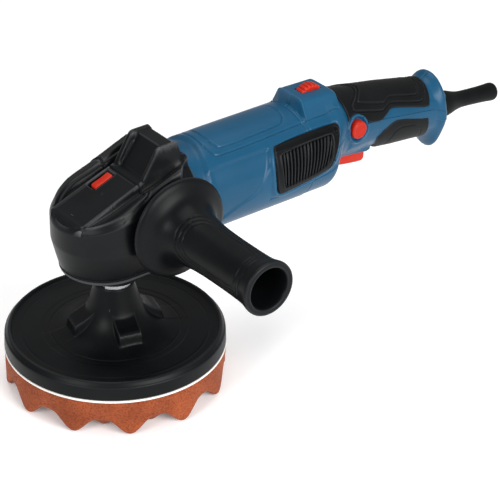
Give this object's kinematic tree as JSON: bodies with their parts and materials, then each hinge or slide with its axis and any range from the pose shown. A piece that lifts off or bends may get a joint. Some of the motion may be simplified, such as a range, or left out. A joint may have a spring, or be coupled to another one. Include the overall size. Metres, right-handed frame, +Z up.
{
  "type": "rotary polisher",
  "caption": "Corded rotary polisher with a right-angle gear head, side handle, barrel grip with trigger, speed wheel and a waved foam polishing pad on a backing pad.",
  "frame": {"origin": "centre of the foam pad's polishing face, on the spindle axis", "axes": "+Z up the spindle, +X from the spindle towards the rear grip along the motor, side handle along -Y"},
  "size_m": [0.4736, 0.2414, 0.195],
  "materials": {
    "orange_foam": "open-cell polyurethane foam",
    "white_loop": "knitted loop cloth",
    "black_rubber": "moulded flexible polyurethane, satin",
    "soft_rubber": "fine-grained soft elastomer, matte",
    "black_metal": "powder coat, satin",
    "black_plastic": "fine spark texture",
    "blue_plastic": "glass-filled nylon, fine texture",
    "red_plastic": "smooth moulded",
    "steel": "ground",
    "dark_steel": "black oxide",
    "copper": "enamelled wire and copper bars",
    "brass": "drawn",
    "carbon": "pressed graphite",
    "board_green": "solder mask"
  },
  "bodies": {
    "body": {"lower_bearing": "steel", "upper_bearing": "steel", "bearing_flange": "black_metal", "flange_screws": "dark_steel", "gear_housing": "black_metal", "front_cover": "black_plastic", "rear_cover": "black_plastic", "cover_screws": "dark_steel", "front_motor_bearing": "steel", "rear_motor_bearing": "steel", "motor_housing": "blue_plastic", "housing_screws": "dark_steel", "air_baffle": "black_plastic", "stator_core": "dark_steel", "field_coils": "copper", "brush_bracket": "black_plastic", "brush_holders": "brass", "carbon_brushes": "carbon", "brush_springs": "steel", "rear_housing_right": "blue_plastic", "rear_housing_left": "blue_plastic", "shell_screws": "dark_steel", "soft_cover_top": "soft_rubber", "soft_cover_bottom": "soft_rubber", "dial_axle": "steel", "speed_board": "board_green", "switch_body": "black_plastic", "trigger_pin": "steel", "cord_guard": "soft_rubber", "cord_clamp": "black_plastic", "clamp_screws": "dark_steel", "side_handle": "soft_rubber", "side_handle_stud": "steel"},
    "pad_spindle": {"spindle": "steel", "crown_gear": "steel", "pad_insert": "steel", "backing_pad": "black_rubber", "velcro_disc": "white_loop", "foam_pad": "orange_foam"},
    "armature": {"armature_shaft": "steel", "pinion": "steel", "pinion_nut": "steel", "armature_core": "dark_steel", "armature_windings": "copper", "commutator": "copper", "cooling_fan": "black_plastic"},
    "spindle_lock": {"lock_button": "red_plastic", "lock_pin": "steel", "lock_spring": "steel"},
    "trigger": {"trigger": "red_plastic", "trigger_spring": "steel"},
    "lock_on": {"lock_on_button": "red_plastic"},
    "dial": {"speed_dial": "red_plastic"},
    "vent_right": {"vent_cover_right": "black_plastic"},
    "vent_left": {"vent_cover_left": "black_plastic"}
  },
  "joints": [
    {"name": "spindle_spin", "type": "hinge", "parent": "body", "child": "pad_spindle", "pos_m": [0, 0, 0.144], "axis": [0, 0, 1], "continuous": true},
    {"name": "armature_spin", "type": "hinge", "parent": "body", "child": "armature", "pos_m": [0.1, 0, 0.144], "axis": [1, 0, 0], "continuous": true},
    {"name": "spindle_lock_press", "type": "slide", "parent": "body", "child": "spindle_lock", "axis": [0, 0, -1], "range_m": [0, 0.004], "stiffness_N_per_m": 800, "deforming": ["lock_spring"]},
    {"name": "trigger_pull", "type": "hinge", "parent": "body", "child": "trigger", "pos_m": [0.212, 0, 0.1315], "axis": [0, -1, 0], "range_deg": [0, 6], "stiffness_Nm_per_rad": 1.5, "springref_deg": -3.44, "deforming": ["trigger_spring"]},
    {"name": "lock_on_press", "type": "slide", "parent": "body", "child": "lock_on", "axis": [0, 1, 0], "range_m": [0, 0.003], "stiffness_N_per_m": 600},
    {"name": "speed_dial_turn", "type": "hinge", "parent": "body", "child": "dial", "pos_m": [0.186, 0, 0.1816], "axis": [0, 1, 0], "range_deg": [0, 260]},
    {"name": "vent_right_pull", "type": "slide", "parent": "body", "child": "vent_right", "axis": [0, -1, 0], "range_m": [0, 0.015]},
    {"name": "vent_left_pull", "type": "slide", "parent": "body", "child": "vent_left", "axis": [0, 1, 0], "range_m": [0, 0.015]}
  ],
  "couplings": [
    {"joint": "armature_spin", "follows": "spindle_spin", "ratio": 3.7}
  ]
}
